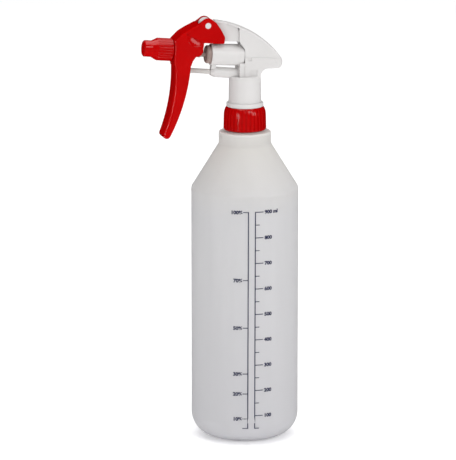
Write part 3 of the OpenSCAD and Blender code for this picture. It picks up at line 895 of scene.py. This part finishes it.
@dataclass(frozen=True)
class PrintedScale:
    """The scale of volumes and percentages that is printed on the barrel.

    Angles are in degrees from the camera's side, and skew in radians per millimetre of height.
    """

    proud: float = 0.025
    film: float = 0.04
    camera_side: float = -105.0
    skew: float = 6.0e-5
    left_line: float = 3.9
    right_line: float = 11.4
    line_w: float = 0.75
    tick_w: float = 0.6
    long_tick: float = 8.8
    short_tick: float = 4.7
    percent_tick: float = 5.7
    volume_anchor: float = 21.7
    percent_anchor: float = -2.6
    top_z: float = 183.0
    step_z: float = 19.9
    full_ml: int = 900
    step_ml: int = 100
    low_ml: int = 50
    bar_step: float = 1.5
    digit_h: float = 2.7
    # a digit's height is this share of the text's size
    digit_share: float = 0.72
    digit_stretch: float = 1.08
    bold: float = 0.18
    curve_steps: int = 3
    marks: tuple[tuple[int, int], ...] = ((100, 900), (70, 634), (50, 447), (30, 266), (20, 187), (10, 88))

    def level(self, volume_ml: float) -> float:
        """Height of a volume's mark on the barrel."""
        return self.top_z - (self.full_ml - volume_ml) / self.step_ml * self.step_z

    def point(self, angle: float, height: float) -> Vector:
        """A point of the print, which stands a little askew on the barrel.

        Args:
            angle: angle from the camera's side, in radians.
            height: height in millimetres.

        Returns:
            The point in metres.
        """
        turn = math.radians(self.camera_side) + angle - self.skew * (self.top_z - height)
        return round_z(BARREL_R + self.proud, turn, height)

    def bar(
        self, mesh: bmesh.types.BMesh, angles: tuple[float, float], heights: tuple[float, float]
    ) -> None:
        """Adds a printed bar that hugs the barrel.

        Args:
            mesh: the print's bmesh.
            angles: start and end angle from the camera's side, in radians.
            heights: lower and upper height.
        """
        start, end = angles
        steps = max(1, round((end - start) / math.radians(self.bar_step)))
        turns = [start + (end - start) * i / steps for i in range(steps + 1)]
        skin_rings(mesh, [[self.point(t, h) for t in turns] for h in heights], closed_ring=False)

    def tick(self, mesh: bmesh.types.BMesh, angles: tuple[float, float], height: float) -> None:
        """Adds a tick of the usual width.

        Args:
            mesh: the print's bmesh.
            angles: start and end angle from the camera's side, in radians.
            height: the height of the tick's middle.
        """
        self.bar(mesh, angles, (height - self.tick_w / 2, height + self.tick_w / 2))

    def numerals(
        self, mesh: bmesh.types.BMesh, text: str, anchor: float, height: float, align: Align
    ) -> None:
        """Adds numerals that hug the barrel.

        Args:
            mesh: the print's bmesh.
            text: the numerals.
            anchor: the text's anchor from the camera's side, in degrees.
            height: the height of the text's middle.
            align: which end of the text stands at the anchor.
        """
        curve = bpy.data.curves.new("numerals", "FONT")
        curve.body = text
        curve.size = self.digit_h / self.digit_share
        curve.offset = self.bold
        curve.resolution_u = self.curve_steps
        curve.align_x = align.value
        holder = bpy.data.objects.new("numerals", curve)
        start = len(mesh.verts)
        mesh.from_mesh(holder.to_mesh())
        mesh.verts.ensure_lookup_table()
        for vert in mesh.verts[start:]:
            turn = math.radians(anchor) + vert.co.x * self.digit_stretch / BARREL_R
            vert.co = self.point(turn, height + vert.co.y - self.digit_h / 2)
        holder.to_mesh_clear()
        bpy.data.objects.remove(holder)
        bpy.data.curves.remove(curve)

    def draw_lines(self, mesh: bmesh.types.BMesh) -> None:
        """Adds both upright lines.

        Args:
            mesh: the print's bmesh.
        """
        half = self.line_w / 2 / BARREL_R
        heights = (self.level(self.low_ml) - self.tick_w / 2, self.top_z + self.tick_w / 2)
        for line in (math.radians(self.left_line), math.radians(self.right_line)):
            self.bar(mesh, (line - half, line + half), heights)

    def draw_volumes(self, mesh: bmesh.types.BMesh) -> None:
        """Adds the ticks and numerals to the right of the right line.

        Args:
            mesh: the print's bmesh.
        """
        line = math.radians(self.right_line)
        edge = line + self.line_w / 2 / BARREL_R
        for volume in range(self.low_ml, self.full_ml + 1, self.step_ml // 2):
            whole = volume % self.step_ml == 0
            reach = math.radians(self.long_tick if whole else self.short_tick)
            self.tick(mesh, (edge, line + reach), self.level(volume))
            if whole:
                text = f"{volume} ml" if volume == self.full_ml else f"{volume}"
                self.numerals(mesh, text, self.volume_anchor, self.level(volume), Align.LEFT)

    def draw_percents(self, mesh: bmesh.types.BMesh) -> None:
        """Adds the ticks and numerals to the left of the left line, and its bare lowest tick.

        Args:
            mesh: the print's bmesh.
        """
        line = math.radians(self.left_line)
        angles = (line - math.radians(self.percent_tick), line - self.line_w / 2 / BARREL_R)
        for percent, volume in self.marks:
            self.tick(mesh, angles, self.level(volume))
            self.numerals(mesh, f"{percent}%", self.percent_anchor, self.level(volume), Align.RIGHT)
        self.tick(mesh, angles, self.level(self.low_ml))

    def build(self) -> bpy.types.Object:
        """Builds, coats and seats the print.

        Returns:
            One thin film of ink with both lines, all ticks and numerals.
        """
        mesh = bmesh.new()
        self.draw_lines(mesh)
        self.draw_volumes(mesh)
        self.draw_percents(mesh)
        scale = seat(new_mesh_object("printed_scale", mesh, smooth=False), Body.BOTTLE, Stock.INK)
        film = scale.modifiers.new("ink film", "SOLIDIFY")
        film.thickness = self.film * MM
        film.offset = -1.0
        return scale


# Sub-assemblies


@dataclass
class SubAssembly:
    """Solids that stay in view, and the pieces that are made to go with them."""

    solids: tuple[CadPiece, ...] = ()

    def make(self) -> list[bpy.types.Object]:
        """Builds and dresses the group's own pieces."""
        return []

    def build(self, nodes: dict[str, bpy.types.Object]) -> list[bpy.types.Object]:
        """Dresses the group's solids and makes its own pieces.

        Args:
            nodes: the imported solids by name.

        Returns:
            All that shows of the group.
        """
        return [solid.dress(nodes) for solid in self.solids] + self.make()


@dataclass
class BottleGroup(SubAssembly):
    """The blown bottle with its neck thread and printed scale."""

    barrel_top: float = 194.7
    barrel_rows: int = 8
    cone_deg: float = 31.7
    cone_top: float = 228.783
    shoulder_r: float = 5.0
    hollow_r: float = 3.0
    heel_r: float = 18.0
    foot_r: float = 23.0
    foot_in: float = 17.0
    push_up: float = 3.5
    wall: float = 1.0
    collar_r: float = 19.95
    collar_top: float = 238.183
    collar_edge_r: float = 1.0
    collar_wall: float = 1.2
    bead_r: float = 15.3
    bead_h: float = 0.85
    bead_edge_r: float = 0.4
    neck_r: float = 12.6
    neck_bore: float = 10.8
    rim_z: float = 252.883
    rim_edge_r: float = 0.5
    thread_h: float = 0.95
    segments: int = 160
    join_mm: float = 0.004
    shading_weight: int = 60
    scale: PrintedScale = PrintedScale()

    def dome(self) -> tuple[float, float]:
        """The radius of the pushed-up base, and half its angle in degrees."""
        radius = (self.foot_in**2 + self.push_up**2) / (2 * self.push_up)
        return radius, math.degrees(math.asin(self.foot_in / radius))

    def outside(self) -> Section:
        """The outer section from the base's middle up to the rim.

        Returns:
            Pairs of distance from the axis and height.
        """
        dome, swing = self.dome()
        half_lean = math.tan(math.radians(self.cone_deg) / 2)
        shoulder_z = self.barrel_top - self.shoulder_r * half_lean
        hollow_z = self.cone_top + self.hollow_r * half_lean
        shoulder = (BARREL_R - self.shoulder_r, shoulder_z)
        hollow = (self.collar_r + self.hollow_r, hollow_z)
        collar_edge = (self.collar_r - self.collar_edge_r, self.collar_top - self.collar_edge_r)
        bead_top = self.collar_top + self.bead_h
        bead_edge = (self.bead_r - self.bead_edge_r, bead_top - self.bead_edge_r)
        bead_root = (self.neck_r + self.bead_edge_r, bead_top + self.bead_edge_r)
        rim_edge = (self.neck_r - self.rim_edge_r, self.rim_z - self.rim_edge_r)
        rise = (shoulder_z - self.heel_r) / self.barrel_rows
        return (
            bend((0.0, self.push_up - dome), dome, (90.0, 90.0 - swing), steps=10)
            + bend((self.foot_r, self.heel_r), self.heel_r, (-90.0, 0.0), steps=18)
            + [(BARREL_R, self.heel_r + rise * i) for i in range(1, self.barrel_rows)]
            + bend(shoulder, self.shoulder_r, (0.0, self.cone_deg), steps=6)
            + bend(hollow, self.hollow_r, (180.0 + self.cone_deg, 180.0), steps=4)
            + bend(collar_edge, self.collar_edge_r, (0.0, 90.0), steps=5)
            + [(self.bead_r, self.collar_top)]
            + bend(bead_edge, self.bead_edge_r, (0.0, 90.0), steps=3)
            + bend(bead_root, self.bead_edge_r, (270.0, 180.0), steps=3)
            + bend(rim_edge, self.rim_edge_r, (0.0, 90.0), steps=4)
        )

    def inside(self) -> Section:
        """The inner section from the rim down to the base's middle.

        Returns:
            Pairs of distance from the axis and height.
        """
        dome, swing = self.dome()
        drop = self.wall * math.tan(math.radians(self.cone_deg) / 2)
        ceiling = self.collar_top - self.collar_wall
        collar_in = self.collar_r - self.wall
        return (
            [(self.neck_bore, self.rim_z), (self.neck_bore, ceiling)]
            + [(collar_in, ceiling), (collar_in, self.cone_top - drop)]
            + [(BARREL_R - self.wall, self.barrel_top - drop)]
            + bend((self.foot_r, self.heel_r), self.heel_r - self.wall, (0.0, -90.0), steps=12)
            + bend((0.0, self.push_up + self.wall - dome), dome, (90.0 - swing, 90.0), steps=6)
        )

    def build_shell(self) -> bpy.types.Object:
        """Turns, coats and seats the bottle.

        Returns:
            One closed shell in place of the plainer solid.
        """
        mesh = bmesh.new()
        section = [(max(radius, 0.0), z) for radius, z in self.outside() + self.inside()]
        turns = [2 * math.pi * i / self.segments for i in range(self.segments)]
        rings = [[round_z(radius, turn, z) for radius, z in section] for turn in turns]
        skin_rings(mesh, rings, closed_run=True)
        bmesh.ops.remove_doubles(mesh, verts=mesh.verts[:], dist=self.join_mm * MM)
        shell = seat(new_mesh_object("bottle_shell", mesh), Body.BOTTLE, Stock.BOTTLE_PE)
        even_shading(shell, self.shading_weight)
        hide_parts("bottle")
        return shell

    def build_thread(self) -> bpy.types.Object:
        """Builds the neck's thread.

        Returns:
            The thread on the neck's outside.
        """
        thread = ScrewThread(
            name="neck_thread",
            axis=UPRIGHT,
            body=Body.BOTTLE,
            stock=Stock.BOTTLE_PE,
            wall_r=self.neck_r,
            crest_r=self.neck_r + self.thread_h,
            start=NECK_THREAD_Z,
            turns=1.75,
            lead=NECK_LEAD,
            root_w=1.9,
            crest_w=1.0,
        )
        return thread.build()

    def make(self) -> list[bpy.types.Object]:
        """Builds the shell, its thread and its print."""
        return [self.build_shell(), self.build_thread(), self.scale.build()]


@dataclass
class HeadGroup(SubAssembly):
    """Pump body, cover, gasket, inlet valve, dip tube, return spring and closure."""

    solids: tuple[CadPiece, ...] = (
        CadPiece("pump_body", Stock.WHITE_PP, edge_mm=0.15),
        CadPiece("cover", Stock.WHITE_PP, edge_mm=0.15),
        CadPiece("neck_gasket", Stock.RUBBER, edge_mm=0.15),
        CadPiece("tube_holder", Stock.WHITE_PP, edge_mm=0.2),
        CadPiece("dip_tube", Stock.NATURAL_PE, edge_mm=0.15),
        CadPiece("inlet_ball", Stock.STEEL, edge_mm=0.0),
        CadPiece("closure", Stock.RED_PP, edge_mm=0.2),
    )
    return_spring: WireSpring = WireSpring(
        node="return_spring",
        body=Body.HEAD,
        joint="piston_stroke",
        stroke=8.484,
        back=-22.53,
        front=1.33,
        mean_r=4.48,
        wire_r=0.42,
        turns=10.5,
        closed_turns=0.75,
        held=SpringEnd.BACK,
    )
    # the closure's thread runs half a lead under the neck's
    closure_thread: ScrewThread = ScrewThread(
        name="closure_thread",
        axis=UPRIGHT,
        body=Body.CLOSURE,
        stock=Stock.RED_PP,
        wall_r=14.05,
        crest_r=13.2,
        start=NECK_THREAD_Z - NECK_LEAD / 2,
        turns=1.75,
        lead=NECK_LEAD,
        root_w=1.7,
        crest_w=0.9,
    )

    def make(self) -> list[bpy.types.Object]:
        """Winds the return spring and builds the closure's thread."""
        return [self.return_spring.build(), self.closure_thread.build()]


@dataclass
class TriggerGroup(SubAssembly):
    """Trigger, spray tube, spinner, seal and nozzle."""

    solids: tuple[CadPiece, ...] = (
        CadPiece("trigger", Stock.RED_PP, edge_mm=0.9, segments=4),
        CadPiece("spray_tube", Stock.NATURAL_PE, edge_mm=0.2),
        CadPiece("spinner", Stock.WHITE_PP, edge_mm=0.1),
        CadPiece("nozzle_seal", Stock.RUBBER, edge_mm=0.0),
        CadPiece("nozzle", Stock.RED_PP, edge_mm=0.2),
    )
    spigot_thread: ScrewThread = ScrewThread(
        name="spigot_thread",
        axis=NOZZLE,
        body=Body.TRIGGER,
        stock=Stock.NATURAL_PE,
        wall_r=4.9,
        crest_r=5.14,
        start=1.6,
        turns=5.0,
        lead=1.5,
        root_w=0.62,
        crest_w=0.3,
    )

    def make(self) -> list[bpy.types.Object]:
        """Builds the spigot's thread."""
        return [self.spigot_thread.build()]


@dataclass
class PumpTrain(SubAssembly):
    """Piston, cups, discharge valve and vent rod."""

    solids: tuple[CadPiece, ...] = (
        # the piston's warm grey is painted shade with a painted reflection of the red trigger
        CadPiece("piston", Stock.ACETAL, edge_mm=0.25),
        CadPiece("piston_cup", Stock.NATURAL_PE, edge_mm=0.08),
        CadPiece("discharge_seat", Stock.WHITE_PP, edge_mm=0.08),
        CadPiece("discharge_ball", Stock.STEEL, edge_mm=0.0),
        CadPiece("vent_rod", Stock.NATURAL_PE, edge_mm=0.15),
        CadPiece("vent_cup", Stock.RUBBER, edge_mm=0.08),
    )
    discharge_spring: WireSpring = WireSpring(
        node="discharge_spring",
        body=Body.PISTON,
        joint="discharge_ball_lift",
        stroke=1.2,
        back=-1.529,
        front=0.99,
        mean_r=1.2,
        wire_r=0.16,
        turns=4.0,
        closed_turns=0.5,
        held=SpringEnd.FRONT,
    )

    def make(self) -> list[bpy.types.Object]:
        """Winds the discharge spring."""
        return [self.discharge_spring.build()]


# Studio


@dataclass(frozen=True)
class Softbox:
    """One soft rectangular light, aimed at the bottle; sizes in metres."""

    name: str
    at: tuple[float, float, float]
    size: tuple[float, float]
    watts: float
    roll_deg: float = 0.0
    polarised: bool = False
    aim: tuple[float, float, float] = (0.0, 0.0, 0.2)

    def hang(self) -> None:
        """Adds the light to the scene, turned about its beam by its roll."""
        data = bpy.data.lights.new(self.name, "AREA")
        data.shape = "RECTANGLE"
        data.size, data.size_y = self.size
        data.energy = self.watts
        light = bpy.data.objects.new(self.name, data)
        light.location = self.at
        light.rotation_mode = "QUATERNION"
        facing = (Vector(self.aim) - Vector(self.at)).to_track_quat("-Z", "Y")
        light.rotation_quaternion = facing @ Quaternion((0.0, 0.0, 1.0), math.radians(self.roll_deg))
        # a polarised light is filtered out of every gloss, so that the reds stay deep
        light.visible_glossy = not self.polarised
        bpy.context.scene.collection.objects.link(light)


@dataclass
class Studio:
    """Pale floor, soft lights and the camera; sizes in metres."""

    eye: tuple[float, float, float] = (-0.873154, -3.258654, 0.909055)
    forward: tuple[float, float, float] = (0.249079, 0.943941, -0.216644)
    lens_mm: float = 352.5
    sensor_mm: float = 36.0
    clip: tuple[float, float] = (0.1, 50.0)
    floor_colour: str = "FAFAFA"
    floor_roughness: float = 0.9
    floor_glow: float = 0.22
    floor_half: float = 6.0
    floor_drop: float = 0.0002
    world_colour: str = "FFFFFF"
    world_strength: float = 0.51
    lights: tuple[Softbox, ...] = (
        Softbox("top softbox", at=(0.0, 0.2, 2.6), size=(3.0, 3.0), watts=53.0),
        Softbox("front softbox", at=(-0.5, -3.2, 1.6), size=(2.4, 1.6), watts=6.0, polarised=True),
        Softbox("right strip light", at=(0.96, -1.81, 1.1), size=(0.6, 2.2), watts=12.0, roll_deg=48.0),
        Softbox("left strip light", at=(-1.69, -1.41, 0.4), size=(0.12, 1.0), watts=4.5),
    )

    def add_camera(self) -> None:
        """Sets the camera at the photograph's place."""
        data = bpy.data.cameras.new("camera")
        data.lens = self.lens_mm
        data.sensor_width = self.sensor_mm
        data.clip_start, data.clip_end = self.clip
        camera = bpy.data.objects.new("camera", data)
        camera.location = self.eye
        camera.rotation_mode = "QUATERNION"
        camera.rotation_quaternion = Vector(self.forward).to_track_quat("-Z", "Y")
        bpy.context.scene.collection.objects.link(camera)
        bpy.context.scene.camera = camera

    def add_floor(self) -> None:
        """Lays the pale floor."""
        mesh = bmesh.new()
        bmesh.ops.create_grid(mesh, x_segments=8, y_segments=8, size=self.floor_half)
        floor = new_mesh_object("floor", mesh, smooth=False)
        floor.location.z = -self.floor_drop
        material = bpy.data.materials.new("painted studio floor")
        material.use_nodes = True
        inputs = material.node_tree.nodes["Principled BSDF"].inputs
        inputs["Base Color"].default_value = linear(self.floor_colour)
        inputs["Roughness"].default_value = self.floor_roughness
        # the floor glows a little, so that it stays pale beside the bottle
        inputs["Emission Color"].default_value = linear(self.floor_colour)
        inputs["Emission Strength"].default_value = self.floor_glow
        floor.data.materials.append(material)
        floor.visible_glossy = False

    def add_room(self) -> None:
        """Sets the white room round the floor and shows its light as it is."""
        world = bpy.data.worlds.new("white studio")
        bpy.context.scene.world = world
        world.use_nodes = True
        inputs = world.node_tree.nodes["Background"].inputs
        inputs["Color"].default_value = linear(self.world_colour)
        inputs["Strength"].default_value = self.world_strength
        # the room's light fills the shadows but leaves the gloss to the softboxes
        world.cycles_visibility.glossy = False
        bpy.context.scene.view_settings.view_transform = "Standard"

    def build(self) -> None:
        """Builds the whole studio."""
        self.add_room()
        self.add_camera()
        self.add_floor()
        for light in self.lights:
            light.hang()


def main() -> None:
    """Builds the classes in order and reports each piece."""
    logging.basicConfig(level=logging.INFO, format="%(name)s: %(message)s")
    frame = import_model()
    Studio().build()
    for group in (BottleGroup(), HeadGroup(), TriggerGroup(), PumpTrain()):
        for piece in group.build(frame["nodes"]):
            LOG.info("%s: %s in %s", type(group).__name__, piece.name, piece.active_material.name)


if __name__ == "__main__":
    main()
